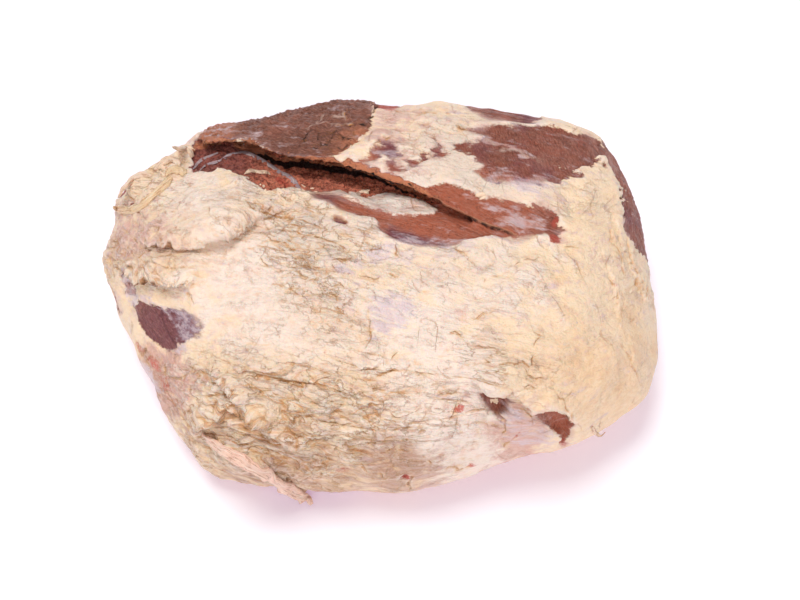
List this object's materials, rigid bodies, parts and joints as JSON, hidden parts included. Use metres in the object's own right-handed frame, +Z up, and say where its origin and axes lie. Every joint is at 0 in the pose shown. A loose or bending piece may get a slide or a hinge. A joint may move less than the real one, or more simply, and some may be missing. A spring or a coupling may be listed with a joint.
{
  "type": "raw beef inside round",
  "caption": "Whole raw inside round of beef lying fat side up: cream fat cover, lean cap muscle lifted along an open seam, a loose sinew at the near edge.",
  "frame": {"origin": "on the table, under the middle of the cut's bounding box", "axes": "+X along the cut's length, towards its fat right end; +Y away from the near side, towards the cap muscle; +Z up, out of the fat side"},
  "size_m": [0.4028, 0.3174, 0.1374],
  "materials": {
    "fat_cover": "moist cream-yellow beef fat, torn and creased, with pink, white and greyish silverskin patches",
    "lean": "raw lean beef, brown-red to purple, grained with muscle fibres, slightly moist",
    "sinew": "pinkish white sinew and membrane, smooth and slightly glossy"
  },
  "bodies": {
    "root": {"beef_inside_round": "fat_cover"}
  },
  "joints": []
}
